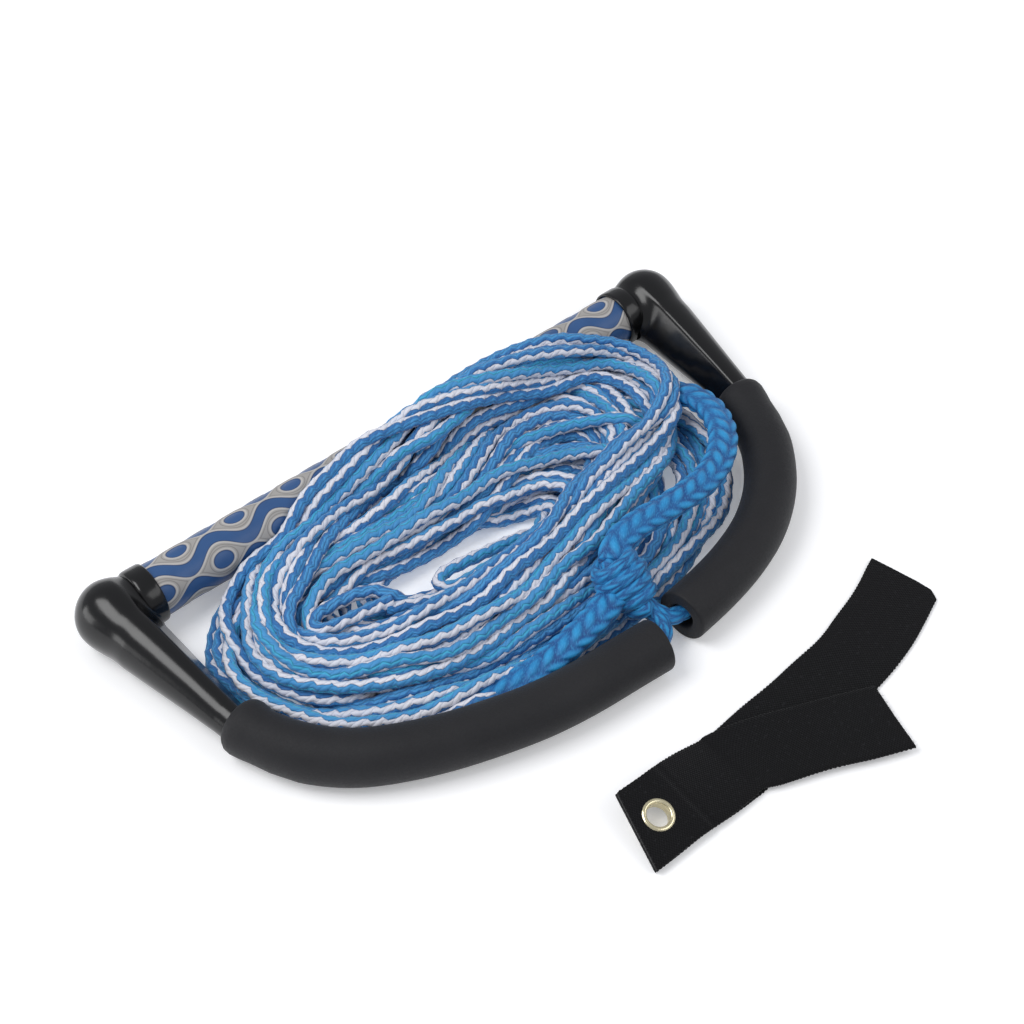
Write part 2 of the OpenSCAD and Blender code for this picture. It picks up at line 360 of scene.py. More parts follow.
def tube(name, p, half, sides, relief, level=False, twist=0.0, taper=None):
    """The mesh of a rope along p. half is its half width and half height; relief(s, a) is added to its
    radius, where s is the distance along and a runs from 0 to 1 round it. It also becomes the mesh's
    crown, from 0 to 1, which the blue braid uses for painted shade in its creases and for bump."""
    s = distance_along(p)
    _, side, over = frames(p, level)
    a = ring_angles(sides)[None, :-1]
    ang = 2 * math.pi * a + (twist * s)[:, None]
    scale = (np.ones(len(s)) if taper is None else taper(s, s[-1]))[:, None]
    lift = relief(s[:, None], a)
    x, y = np.cos(ang) * (half[0] * scale + lift), np.sin(ang) * (half[1] * scale + lift)
    v = p[:, None, :] + x[..., None] * side[:, None, :] + y[..., None] * over[:, None, :]
    mesh = ring_mesh(name, v, s, closed=True)
    crown = np.zeros(len(mesh.vertices), np.float32)
    crown[: lift.size] = (lift / (abs(lift).max() + 1e-9) * 0.5 + 0.5).ravel()
    mesh.attributes.new("crown", "FLOAT", "POINT").data.foreach_set("value", crown)
    return mesh


# ---- the tow rope's lay

# One turn of the coil is drawn by KEYS points: the left end, back to front over the left turn, the
# back stretch, the right turn, and the front stretch. These guide turns are drawn as seen down the
# sight line on the plane at SIGHT_Z, each point with its own height.
KEYS = 18
SIGHT_Z = 15.0


def turn(*v):
    return np.array(v, float).reshape(-1, 3)


ARCH_TOP = turn(
    -142, -67, 24, -135, -43, 27, -116, -21, 31, -84, -4, 36, -45, 8, 39, -6, 15, 41,
    30, 17, 43, 60, 8, 44, 90, -7, 42, 112, -20, 38, 123, -38, 33, 118, -62, 28,
    98, -86, 24, 60, -105, 22, 15, -118, 20, -30, -128, 19, -78, -128, 19, -122, -104, 21)
ARCH_CROSS = turn(
    -128, -65, 26, -121, -44, 29, -104, -28, 32, -78, -14, 35, -42, -2, 37, -5, 7, 38,
    30, 13, 40, 60, 13, 41, 94, 5, 40, 122, -10, 38, 137, -32, 35, 137, -58, 33,
    122, -82, 31, 80, -96, 29, 25, -108, 26, -25, -116, 24, -72, -114, 23, -113, -93, 24)
ARCH_OUT = turn(
    -118, -62, 27, -112, -46, 30, -96, -36, 32, -72, -26, 33, -40, -13, 34, -5, -3, 35,
    30, 7, 36, 60, 15, 37, 96, 14, 38, 130, 2, 37, 146, -26, 36, 144, -54, 37,
    118, -70, 38, 72, -74, 36, 28, -89, 32, -20, -98, 28, -65, -97, 26, -103, -82, 26)
FAN_OUT = turn(
    -126, -68, 20, -118, -50, 22, -103, -40, 24, -75, -37, 27, -38, -38, 29, -5, -34, 30,
    24, -20, 31, 50, -5, 31, 80, -6, 30, 102, -22, 28, 109, -42, 25, 104, -66, 22,
    82, -88, 18, 50, -103, 16, 15, -112, 14, -30, -120, 14, -75, -120, 15, -112, -100, 17)
FAN_IN = turn(
    -108, -69, 16, -105, -59, 18, -94, -53, 20, -74, -54, 22, -42, -58, 22, -8, -61, 22,
    20, -57, 24, 44, -51, 25, 68, -43, 25, 82, -48, 22, 86, -60, 19, 82, -74, 16,
    66, -82, 14, 42, -88, 12, 10, -95, 11, -25, -94, 11, -60, -92, 12, -93, -83, 14)
GROUND_OUT = turn(
    -158, -72, 3, -151, -43, 3, -122, -23, 3, -80, -19, 3, -40, -19, 3, -5, -19, 3,
    30, -19, 3, 62, -19, 3, 98, -20, 3, 130, -34, 3, 145, -64, 3, 139, -98, 3,
    112, -127, 3, 66, -145, 3, 15, -151, 3, -30, -153, 3, -78, -145, 3, -134, -114, 3)
GROUND_IN = turn(
    -66, -62, 3, -64, -54, 3, -55, -48, 3, -44, -46, 3, -30, -47, 3, -12, -50, 3,
    5, -55, 3, 20, -61, 3, 32, -67, 3, 39, -74, 3, 39, -82, 3, 33, -89, 3,
    24, -93, 3, 12, -94, 3, -4, -92, 3, -22, -89, 3, -42, -84, 3, -59, -74, 3)
# How much of the layers' full height the pile has at each key point: full at the back, where it
# leans on the grip, and half at the front
LAYER_SHARE = np.array([0.6, 0.8, 1, 1, 1, 1, 1, 1, 1, 0.9, 0.7, 0.55, 0.5, 0.45, 0.45, 0.45, 0.45, 0.5])
LAYER_STEP = 6.0
ROPE_R = 3.25

# The rope's first stretch, in true places: it comes out of the leader's braid, which holds it as far
# as HELD_AT_START reaches. The last HELD_AT_END millimetres stay where they are drawn
ROPE_START = [
    (-66, -105.5, 6), (-80, -108.5, 6.5), (-94, -112, 9), (-108, -112, 13), (-120, -106, 17), (-130, -93, 21)]
HELD_AT_START, HELD_AT_END = 20.0, 235.0

# The rope's last stretch, in true places: along the front of the slit, a bight, and on to the eye
ROPE_END = [
    (38, -79, 4), (35, -86, 6), (22, -90, 9), (0, -89, 11), (-20, -89, 12), (-31, -89.5, 12), (-39, -88, 12),
    (-42.5, -83, 12), (-39, -78, 12), (-31, -76.5, 11), (-14, -78, 9), (10, -80, 7), (27, -84, 6),
    (33, -91, 7), (25, -97, 9), (0, -98, 11), (-35, -93, 13), (-58, -87, 15), (-70, -81, 17)]
EYE_LOOP = [
    (-66, -80, 18), (-76, -78, 19), (-90, -77, 20), (-101, -75, 20), (-106, -70, 20), (-101, -65, 20),
    (-88, -65, 20), (-76, -67, 20), (-68, -71, 19.5), (-64, -77, 18.5), (-58, -83, 16)]


def sight_share(z):
    """How far points at height z are up the sight line from the sight plane, as a share of it."""
    return ((z - SIGHT_Z) / (EYE_POINT[2] - SIGHT_Z))[:, None]


def down_sight(p):
    """True places of points drawn on the sight plane, each slid along the sight line to its height."""
    k = sight_share(p[:, 2])
    return np.c_[p[:, :2] + k * (EYE_POINT[:2] - p[:, :2]), p[:, 2]]


def up_sight(p):
    """The other way: where true places are drawn on the sight plane."""
    k = sight_share(p[:, 2])
    return np.c_[(p[:, :2] - k * EYE_POINT[:2]) / (1 - k), p[:, 2]]


def ground_turn(level, inward):
    """A turn of the flat layers, from the outermost at 0 to the innermost at 1."""
    p = up_sight(GROUND_OUT) * (1 - inward) + up_sight(GROUND_IN) * inward
    p[:, 2] = ROPE_R + level * LAYER_STEP * LAYER_SHARE
    return p


# The guide turns are numbered for a rope of 41.5 turns, and TURN_SHARE brings them down to this one's
TURN_SHARE = 0.831
FIRST_TURN, LAST_TURN = -0.03, 34.45
TURN_NOISE = (1.5, 1.5, 0.5)
# (turn number, layer from the ground, share of the way in) of the flat layers' guide turns
FLAT_TURNS = [
    (18.6, 4, 0.75), (21.6, 4, 0.1), (22.6, 3, 0.02), (26.6, 3, 0.9), (27.6, 2, 0.95), (31.6, 2, 0.05),
    (32.6, 1, 0.02), (37.0, 1, 0.97), (37.6, 0, 0.93), (40.9, 0, 0.02), (41.9, 0, 1.0)]


def turn_keys():
    """(turn number, guide turn): the turns from the leader's end in, and out to the boat's end."""
    start = ARCH_TOP.copy()
    start[15:] = (-30, -152, 8), (-78, -147, 10), (-128, -112, 14)
    between = (ARCH_TOP + FAN_OUT) / 2 - [0, 0, 7]
    keys = [(-1.0, start), (0.0, ARCH_TOP), (2.6, ARCH_CROSS), (6.0, ARCH_OUT), (7.6, ARCH_OUT),
            (8.6, between), (10.6, FAN_OUT), (17.6, FAN_IN)]
    keys += [(t, ground_turn(level, inward)) for t, level, inward in FLAT_TURNS]
    return [(t * TURN_SHARE if t > 0 else t, guide) for t, guide in keys]


def coil_line():
    """The rope's line through all the guide turns, with each turn a little out of place."""
    rng = np.random.default_rng(3)
    times, turns = [np.array(v) for v in zip(*turn_keys())]
    count = int(LAST_TURN - FIRST_TURN) + 4
    stray = rng.normal(0, 1, (count, KEYS, 3)) * TURN_NOISE
    m = np.arange(int(np.floor(FIRST_TURN * KEYS)) - 2, int(np.ceil(LAST_TURN * KEYS)) + 4)
    at = np.clip(m / KEYS, times[0], times[-1])
    q = np.clip(np.searchsorted(times, at, side="right") - 1, 0, len(times) - 2)
    f = ((at - times[q]) / (times[q + 1] - times[q]))[:, None]
    k = m % KEYS
    c = turns[q, k] * (1 - f) + turns[q + 1, k] * f
    c = down_sight(c + stray[np.clip(m // KEYS + 1, 0, count - 1), k])
    u = np.linspace(FIRST_TURN, LAST_TURN, int((LAST_TURN - FIRST_TURN) * 150) + 1) * KEYS
    j = np.floor(u).astype(int)
    b = j - m[0]
    return spline_point(c[b - 1], c[b], c[b + 1], c[b + 2], (u - j)[:, None], 0.7)


# ---- the rope settles on the pile

# The bridle's own line, as part.scad has it
WIDE_R, WIDE_Y = 286.0, 109.0
SIDE_ANGLE = math.radians(22.6)
SIDE_R = 86.5
SIDE_CENTRE = ((WIDE_R - SIDE_R) * math.sin(SIDE_ANGLE), WIDE_Y - (WIDE_R - SIDE_R) * math.cos(SIDE_ANGLE))
FLOAT_Z, FLOAT_R = 13.5, 13.5
FLOATS_FROM_Y, GRIP_END_X = -86, 150
# The arm as the rope meets it
ELBOW, ARM_TIP, ARM_R = np.array([173.0, 0.0, 17.0]), np.array([162.4, -88.0, 13.7]), 12.5
# How near two ropes come, as a share of their widths, and the rope's clearance from the hard pieces
PRESS, CLEAR = 0.97, 0.1
# The rounds of settling, the size of the cells in which near points are looked for, and what each round
# does: how far the rope sinks, then the share it moves back to its sight line, to straight and to length
ROUNDS, CELL = 200, 12.0
SINK, LATE_SINK, TO_SIGHT, STRAIGHTEN, STRETCH = 0.15, 0.04, 0.02, 0.08, 0.15


def near_pairs(p, r):
    """Pairs of rope points near enough to touch, leaving out neighbours along the rope."""
    n = len(p)
    q = np.floor((p - p.min(0)) / CELL).astype(int) + 1
    dims = q.max(0) + 2
    key = (q[:, 0] * dims[1] + q[:, 1]) * dims[2] + q[:, 2]
    order = np.argsort(key, kind="stable")
    ks = key[order]
    first, second = [], []
    for off in [(x * dims[1] + y) * dims[2] + z for x in (-1, 0, 1) for y in (-1, 0, 1) for z in (-1, 0, 1)]:
        if off < 0:
            continue
        lo = np.searchsorted(ks, key + off, "left")
        count = np.searchsorted(ks, key + off, "right") - lo
        i = np.repeat(np.arange(n), count)
        j = order[np.repeat(lo - np.r_[0, np.cumsum(count)[:-1]], count) + np.arange(count.sum())]
        if off == 0:
            i, j = i[i < j], j[i < j]
        first.append(i)
        second.append(j)
    i, j = np.concatenate(first), np.concatenate(second)
    d = np.linalg.norm(p[i] - p[j], axis=1)
    keep = (d < (r[i] + r[j]) * 1.5) & (np.abs(i - j) > 4)
    return i[keep], j[keep]


def off_floats(p, reach):
    """How far points have to move to be outside the floats, on the inside of the bridle."""
    x, y = np.abs(p[:, 0]), p[:, 1]
    wide = np.arctan2(x, WIDE_Y - y) < SIDE_ANGLE
    cx, cy = np.where(wide, 0, SIDE_CENTRE[0]), np.where(wide, WIDE_Y, SIDE_CENTRE[1])
    big = np.where(wide, WIDE_R, SIDE_R)
    dx, dy = x - cx, y - cy
    rad = np.hypot(dx, dy) + 1e-9
    vx, vy, vz = dx * (1 - big / rad), dy * (1 - big / rad), p[:, 2] - FLOAT_Z
    d = np.sqrt(vx**2 + vy**2 + vz**2) + 1e-9
    inside = rad <= big
    need = np.where(inside, np.maximum(reach - d, 0), np.where(vz < reach, reach + rad - big, 0))
    need = np.clip(np.where(y < FLOATS_FROM_Y, need, 0), 0, 8)
    ux = np.where(inside, vx / d, -dx / rad)
    uy = np.where(inside, vy / d, -dy / rad)
    uz = np.where(inside, vz / d, 0)
    return np.stack([ux * np.where(p[:, 0] < 0, -1, 1), uy, uz], -1) * need[:, None]


def settle(p, r, held):
    """Lets the rope lie on itself, the ground, the grip, the floats and the arms. held points stay.
    Each point keeps near its sight line, and the rope keeps its length."""
    p = p.copy()
    n = len(p)
    w = np.where(held, 0.0, 1.0)
    joined = ~(held[1:] | held[:-1])
    rest = np.linalg.norm(np.diff(p, axis=0), axis=1)
    seen = up_sight(p)[:, :2]
    mid = np.arange(n)[1:-1][joined[:-1] & joined[1:]]
    arms = [(ELBOW * [sign, 1, 1], ARM_TIP * [sign, 1, 1]) for sign in (-1, 1)]
    for step in range(ROUNDS):
        if step % 6 == 0:
            i, j = near_pairs(p, r)
            free = w[i] + w[j] > 0
            i, j = i[free], j[free]
            share = w[i] + w[j]
            lim = (r[i] + r[j]) * PRESS
        p[:, 2] -= w * (LATE_SINK if step > ROUNDS * 0.75 else SINK)
        p[:, :2] += TO_SIGHT * w[:, None] * (seen + sight_share(p[:, 2]) * (EYE_POINT[:2] - seen) - p[:, :2])
        p[mid] += STRAIGHTEN * ((p[mid - 1] + p[mid + 1]) / 2 - p[mid])
        for _ in range(2):
            v = p[i] - p[j]
            d = np.sqrt((v**2).sum(1)) + 1e-9
            ov = np.where(d < lim, lim - d, 0)
            v *= (ov / share / d)[:, None]
            move = np.stack([np.bincount(i, v[:, q] * w[i], n) - np.bincount(j, v[:, q] * w[j], n)
                             for q in range(3)], -1)
            hits = np.bincount(i, ov > 0, n) + np.bincount(j, ov > 0, n)
            p += move / np.maximum(1, hits * 0.5)[:, None]
            v = p[1:] - p[:-1]
            d = np.sqrt((v**2).sum(1)) + 1e-9
            v *= (np.where(joined, (d - rest) / d * STRETCH, 0))[:, None]
            p[:-1] += v
            p[1:] -= v
            p[:, 2] = np.where(held, p[:, 2], np.maximum(p[:, 2], r))
            up, back = p[:, 2] - BAR_Z, p[:, 1]
            q, grip = np.hypot(back, up) + 1e-9, GRIP_R + CLEAR + r
            f = np.where((q < grip) & ~held & (np.abs(p[:, 0]) < GRIP_END_X), grip / q, 1)
            p[:, 1], p[:, 2] = back * f, BAR_Z + up * f
            p += off_floats(p, FLOAT_R + CLEAR + r) * w[:, None] * 0.8
            for a, b in arms:
                u = np.clip((p - a) @ (b - a) / ((b - a) @ (b - a)), 0, 1)
                v = p - (a + u[:, None] * (b - a))
                d = np.linalg.norm(v, axis=1) + 1e-9
                m = (d < ARM_R + r) & ~held
                p[m] += (v / d[:, None] * (ARM_R + r - d)[:, None])[m]
    return p


# The leader leaves the knot to the left along the float, passes under the pile, and comes back over
# the pile's right end to the knot
LEADER = [
    (14, -150, 24), (0, -154, 23), (-22, -156, 19), (-44, -155, 14), (-68, -148, 9), (-88, -134, 6),
    (-92, -116, 6), (-72, -106, 6), (-36, -104, 6), (0, -104, 6), (36, -102, 6), (66, -92, 6),
    (92, -78, 6), (112, -62, 9), (127, -57, 15), (137, -68, 21), (138, -86, 25), (130, -105, 28),
    (115, -120, 30), (94, -129, 32), (70, -131, 34), (48, -130, 35), (32, -132, 34), (24, -138, 31)]
LEADER_HALF = (7.6, 4.9)
LEADER_D, LEADER_TOUCH_R = 12.0, 5.4


def lay_ropes():
    """The settled tow rope and its eye, and the leader's line."""
    leader = resample(smooth_line(LEADER), 4.0)
    rope = np.vstack([smooth_line(ROPE_START), coil_line()[6:], smooth_line(ROPE_END)[6:]])
    rope = resample(rope, 5.0)
    eye = resample(smooth_line(EYE_LOOP), 4.0)
    far_off = np.full((1, 3), -900.0)
    p = np.vstack([rope, far_off, leader, far_off, eye])
    r = np.repeat([ROPE_R, 0.1, LEADER_TOUCH_R, 0.1, ROPE_R], [len(rope), 1, len(leader), 1, len(eye)])
    held = np.ones(len(p), bool)
    along = distance_along(rope)
    held[: len(rope)] = (along < HELD_AT_START) | (along > along[-1] - HELD_AT_END)
    rope = settle(p, r, held)[: len(rope)]
    for _ in range(3):
        rope[1:-1] = rope[1:-1] * 0.5 + (rope[:-2] + rope[2:]) * 0.25
    return rope, leader, eye


# ---- materials

# DEEP: a darker blue yarn stripe, its colour darkened further as painted shade for the pile's depths.
WHITE, BLUE, TEAL, DEEP = (0.77, 0.77, 0.83), (0.066, 0.30, 0.61), (0.058, 0.42, 0.66), (0.036, 0.17, 0.43)
# The rope's lengthwise sectors: where each starts round the rope, from 0 to 1, and its colour
COLUMNS = 6
SECTORS = [(0.0, WHITE), (0.166, BLUE), (0.27, TEAL), (0.35, BLUE), (0.5, WHITE), (0.666, DEEP),
           (0.76, BLUE), (0.9, DEEP)]
STITCH = 9.5


def striped_rope():
    m = Mat("striped_braid", (0.2, 0.42, 0.66), 0.62, specular=0.35)
    s, a = m.uv()
    wander = m.noise(0.25, 1, m.vector(s, 7.0)) * 0.5
    step = (s / STITCH + wander).fract()
    saw = (step / 0.70).least((1 - step) / 0.30) - 0.5
    sway = ((s / STITCH + wander) * (2 * math.pi)).sin() * 0.06 + saw * 0.60
    drift = (m.noise(0.02, 1, m.vector(s, 0.0)) - 0.5) * 1.2
    fringe = (m.noise(1.0, 2, m.vector(s * 0.8, a * 30.0)) - 0.5) * 0.35
    c = a * COLUMNS + sway + drift
    column = (c + fringe) % COLUMNS
    colour = m.sectors(column / COLUMNS, SECTORS)
    across = abs(c.fract() - 0.5) * 2
    lean = (s / STITCH * 2 + c.fract() * 0.8 + column.floor() * 0.5).fract()
    plump = (lean * math.pi).sin()
    # Painted shade: the low gaps between columns and between stitches are darkened.
    crease_shade = across.over(0.9, 0.3) * 0.7 + (1 - plump).over(0.82, 0.3) * 0.3
    fibre = m.noise(1.0, 2, m.vector(s * 0.9 + c * 1.4, c * 9.0))
    colour = m.mix(crease_shade, colour, m.mix(1.0, colour, (0.16, 0.24, 0.40), "MULTIPLY"))
    colour = m.mix((fibre - 0.35) * 0.6, colour, m.mix(1.0, colour, (0.55, 0.62, 0.75), "MULTIPLY"))
    tone = m.noise(0.05, 2, m.vector(s, 3.0))
    colour = m.mix((tone - 0.4) * 0.6, colour, m.mix(0.45, colour, (0.02, 0.34, 0.70)))
    m.set("Base Color", colour)
    m.set("Sheen Weight", 0.25)
    m.set("Sheen Roughness", 0.4)
    m.bump(plump * 0.5 - across**3 * 0.6 + fibre * 0.25, 0.0008, 0.85)
    return m


def blue_rope():
    """Solid blue braid; the piece's own crown, from 0 in the creases to 1 on a strand's back, darkens its
    creases with painted shade, and raised fibres get a painted highlight.
    """
    m = Mat("blue_braid", (0.014, 0.29, 0.62), 0.55, specular=0.4)
    s, a = m.uv()
    crown = m.attribute("crown")
    fibre = m.noise(1.0, 3, m.vector(s * 0.7, a * 60.0 + s * 0.9))
    patch = m.noise(0.16, 1, m.vector(s, a * 12.0))
    # Painted shade: where the crown is low, in the creases, the blue darkens.
    colour = m.mix(crown.over(0.52, 0.75), (0.003, 0.065, 0.24), (0.014, 0.29, 0.62))
    colour = m.mix(patch.over(0.5, 0.25) * 0.45, colour, (0.006, 0.15, 0.42))
    # Painted highlight: raised fibres, where the bump is high, turn pale blue.
    m.set("Base Color", m.mix((fibre - 0.48) * 1.6, colour, (0.06, 0.44, 0.80)))
    m.set("Sheen Weight", 0.12)
    m.bump(fibre + crown * 0.3, 0.0006, 0.6)
    return m


# The grip's pattern: rows of dots between wavy bands, with a seam at ROW_SEAM degrees round the bar
DOT_PITCH, DOT_ROWS, ROW_SEAM = 34.0, 5, -124.0
DOT_HALF = (5.6, 4.4)
FIRST_DOT = 98 / DOT_PITCH
BAND_SWING, BAND_HALF = 4.4, 3.2


def grip_pattern(x, turn_deg):
    """Distances in millimetres outside the nearest dot and the nearest wavy band. Works on numbers in
    arrays and on node values alike."""
    cos = Val.cos if isinstance(x, Val) else np.cos
    pitch_round = 2 * math.pi * GRIP_R / DOT_ROWS
    t = (turn_deg - ROW_SEAM) / (360 / DOT_ROWS)
    da = (t % 1 - 0.5) * pitch_round
    dx = ((x / DOT_PITCH + (t - t % 1) % 2 * 0.5 + FIRST_DOT) % 1 - 0.5) * DOT_PITCH
    dot = (((dx / DOT_HALF[0]) ** 2 + (da / DOT_HALF[1]) ** 2) ** 0.5 - 1) * DOT_HALF[1]
    centre = cos(dx * (2 * math.pi / DOT_PITCH)) * BAND_SWING + pitch_round / 2
    band = (abs(abs(da) - centre) - BAND_HALF * 1.15) * 0.85
    return dot, band


def grip_rubber():
    m = Mat("grip_rubber", (0.33, 0.31, 0.29), 0.5, specular=0.4)
    x, deg = m.uv()
    dot, band = grip_pattern(x, deg)
    near = dot.least(band)
    cloud = m.noise(60.0, 3)
    base = m.mix(cloud, (0.30, 0.285, 0.27), (0.40, 0.385, 0.37))
    rim = near.over(0.25, 0.2) * (1 - near.over(0.95, 0.3))
    line = near.over(1.5, 0.2) * (1 - near.over(1.95, 0.3))
    base = m.mix(rim * 0.75, base, (0.52, 0.50, 0.48))
    base = m.mix(line * 0.6, base, (0.17, 0.16, 0.155))
    blue = m.mix(cloud, (0.022, 0.070, 0.190), (0.036, 0.105, 0.27))
    blue = m.mix(near.over(-0.45, 0.3) * 0.7, blue, (0.014, 0.04, 0.12))
    m.set("Base Color", m.mix(near.over(0.0, 0.22), blue, base))
    m.set("Roughness", near.over(0.0, 0.3).range(0.38, 0.56))
    m.bump(m.noise(2500.0, 2), 0.0002, 0.35)
    return m


def plain(name, colour, rough, bump, tones=None, gloss=None, **shader):
    """A finish of one colour. tones is (noise scale, dark, light) of its colour, gloss is (noise scale,
    least, most) of its roughness, and bump is (noise scale, detail, depth, strength)."""
    m = Mat(name, colour, rough, **shader)
    if tones:
        m.set("Base Color", m.mix(m.noise(tones[0], 3), *tones[1:]))
    if gloss:
        m.set("Roughness", m.noise(gloss[0], 3).range(*gloss[1:]))
    m.bump(m.noise(*bump[:2]), *bump[2:])
    return m


def float_foam():
    m = Mat("charcoal_foam", (0.013, 0.013, 0.015), 0.7, specular=0.28)
    cloud = m.noise(40.0, 3)
    m.set("Base Color", m.mix(cloud, (0.009, 0.009, 0.011), (0.017, 0.017, 0.019)))
    m.set("Roughness", m.noise(900.0, 2).range(0.5, 0.75))
    m.set("Sheen Weight", 0.05)
    m.bump(m.noise(1800.0, 3) + m.noise(150.0, 2) * 0.8, 0.00035, 0.5)
    return m


def webbing():
    m = Mat("black_webbing", (0.006, 0.006, 0.007), 0.85, specular=0.12)
    d, y = m.uv()
    cell = (d * (2 * math.pi / RIB)).cos() * (y * (2 * math.pi / WARP)).cos()
    fuzz = m.noise(700.0, 3)
    colour = m.mix(cell * 0.5 + 0.5, (0.003, 0.003, 0.0035), (0.010, 0.010, 0.011))
    m.set("Base Color", m.mix(fuzz.over(0.66, 0.16) * 0.3, colour, (0.035, 0.035, 0.04)))
    m.set("Sheen Weight", 0.06)
    m.bump(cell * 0.5 + fuzz * 0.5, 0.0005, 0.7)
    return m


def hook_cloth():
    m = Mat("hook_cloth", (0.012, 0.012, 0.013), 0.7)
    d, y = m.uv()
    m.bump((d * 4.0).cos() * (y * 4.0).cos() + m.noise(900.0, 2), 0.0004, 0.8)
    m.set("Base Color", m.mix(m.noise(600.0, 2), (0.008, 0.008, 0.009), (0.02, 0.02, 0.022)))
    return m


# ---- ropes

ROPE_STEP = 1.9


def rope_bumps(s, a):
    """The striped rope's outline: strands that lean to one side and then the other."""
    lean = 2 * math.pi * (s / STITCH + a * 2)
    return 0.28 * np.cos(lean) + 0.12 * np.cos(lean * 2)


def braid(columns, stitch, depth):
    """A relief of leaning stitches that meet in Vs, in an even number of columns."""

    def relief(s, a):
        c = a * columns
        f = c - np.floor(c)
        lean = np.where(np.floor(c) % 2 == 0, f, 1 - f)
        h = (s / stitch + lean * 0.8) % 1
        plump = np.sin(math.pi * h) ** 0.75
        crown = np.sin(math.pi * f) ** 0.5
        return depth * (plump * crown - 0.6)

    return relief


def eye_taper(s, total):
    """The eye is fat where it is spliced, and its far end tapers away."""
    return (1 + 0.22 * np.exp(-((s / 8) ** 2))) * np.sqrt(np.clip((total - s + 0.3) / 7, 0.05, 1))


def add_tow_rope(mat, blue):
    """The coiled rope with the spliced eye at its boat end, and the solid-blue leader at the other."""
    rope, leader, eye = lay_ropes()
    half = (ROPE_R, ROPE_R)
    line = resample(smooth_line(rope, 4, 0.6), ROPE_STEP)
    mesh = tube("tow_rope", line, half, 14, rope_bumps, twist=0.0015)
    main = place(mesh, mat, "handle", "striped_rope", "coil_lower_turns", "coil_upper_turns")
    mesh = tube("boat_end_splice", resample(smooth_line(eye), 0.8), half, 20, rope_bumps, taper=eye_taper)
    splice = place(mesh, mat, "handle", "striped_rope", "boat_end_eye")
    line = resample(smooth_line(leader), 0.8)
    mesh = tube("leader_rope", line, LEADER_HALF, 56, braid(6, 9.0, 1.25), level=True)
    lead = place(mesh, blue, None, "blue_rope", "leader_loop")
    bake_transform(lead)


# ---- bridle: floats, rope ends, knot

FLOAT_LINE = {
    "left": [(-161.4, -89), (-159.5, -98), (-155.5, -109), (-148, -123), (-133, -139), (-114, -150.5),
             (-94, -159.5), (-72, -167), (-50, -173), (-26, -176.5), (0, -178), (17, -179.3)],
    "right": [(162.2, -84), (160.6, -92), (157.5, -101), (153, -112), (146, -124), (130, -142), (108, -157),
              (84, -166), (61, -171), (37, -174)],
}
# (distance from the end, radius) over the float's lip at the arm, from inside it, and over its cut end
FLOAT_LIP = [
    (12.0, 6.7), (9.0, 8.2), (6.0, 9.6), (2.5, 10.4), (0.8, 10.9), (0.0, 11.6), (0.1, 12.4), (0.7, 12.9),
    (2.2, 13.7), (5.0, 14.0), (9.0, 13.5), (14.0, 12.9), (24.0, 13.2), (36.0, 13.5)]
FLOAT_CUT = [
    (2.0, 13.5), (0.9, 13.45), (0.35, 13.2), (0.05, 12.7), (0.0, 12.0), (0.0, 8.5), (0.1, 7.3), (0.6, 6.7),
    (2.0, 6.6), (12.0, 6.6), (40.0, 6.6)]
BRIDLE_ENDS = {
    "left": [(22, -178, 14.0), (25.5, -173, 15), (26, -166, 17), (24, -158, 20)],
    "right": [(33, -172.5, 14.5), (29, -168, 16), (26, -161, 19), (25, -154, 22)],
}


def float_centre(side):
    """The line through the middle of a float, from the arm to its cut end."""
    p = np.array([(x, y, FLOAT_Z) for x, y in FLOAT_LINE[side]])
    return resample(smooth_line(p, 16, 0.35), 0.5)


def add_float(side, mat):
    """A foam tube with a swollen lip round the arm, a slight pinch after it, and an open cut end."""
    line = float_centre(side)
    s = distance_along(line)
    total = s[-1]
    even = [(d, FLOAT_R) for d in np.arange(40.0, total - 3, 3.0)]
    profile = np.array(FLOAT_LIP + even + [(total - d, r) for d, r in FLOAT_CUT])
    at = np.clip(profile[:, 0], 0, total)
    pos = at_distances(at, s, line)
    level, over = [unit(at_distances(at, s, way)) for way in frames(line, True)[1:]]
    ang = 2 * math.pi * ring_angles(56)[None, :-1]
    rng = np.random.default_rng(5 if side == "left" else 6)
    dent = sum(0.10 * np.cos(k * ang + at[:, None] / (17 + 9 * k) + rng.uniform(0, 6)) for k in (2, 3, 4))
    r = profile[:, 1:] + dent * (profile[:, 1:] > 12.5)
    v = (pos[:, None] + (r * np.cos(ang))[..., None] * level[:, None]
         + (r * np.sin(ang))[..., None] * over[:, None])
    v[..., 2] = np.maximum(v[..., 2], 0.02)
    mesh = ring_mesh(f"float_{side}_foam", v, profile[:, 0])
    obj = place(mesh, mat, None, "foam", f"float_{side}")
    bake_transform(obj)


def add_bridle_ropes(mat):
    """The bridle's two ends, each from inside its float to the knot."""
    for side in ("left", "right"):
        path = resample(smooth_line(np.vstack([float_centre(side)[28::40], BRIDLE_ENDS[side]])), 0.8)
        mesh = tube(f"bridle_rope_{side}_end", path, (4.3, 4.0), 40, braid(8, 6.5, 0.55))
        place(mesh, mat, "bridle", "blue_rope", f"bridle_rope_{side}")


KNOT_CENTRE = np.array([24.0, -148.0, 24.5])
KNOT_AXIS = np.array([0.10, -0.87, -0.48])
KNOT_WRAPS = 4.6
WRAP_PITCH, WRAP_R, WRAP_HALF = 5.8, 8.8, 3.8


def core_taper(s, total):
    """The knot's core swells in the middle."""
    return 0.55 + 0.45 * np.sqrt(np.clip(np.sin(math.pi * s / total), 0, 1))


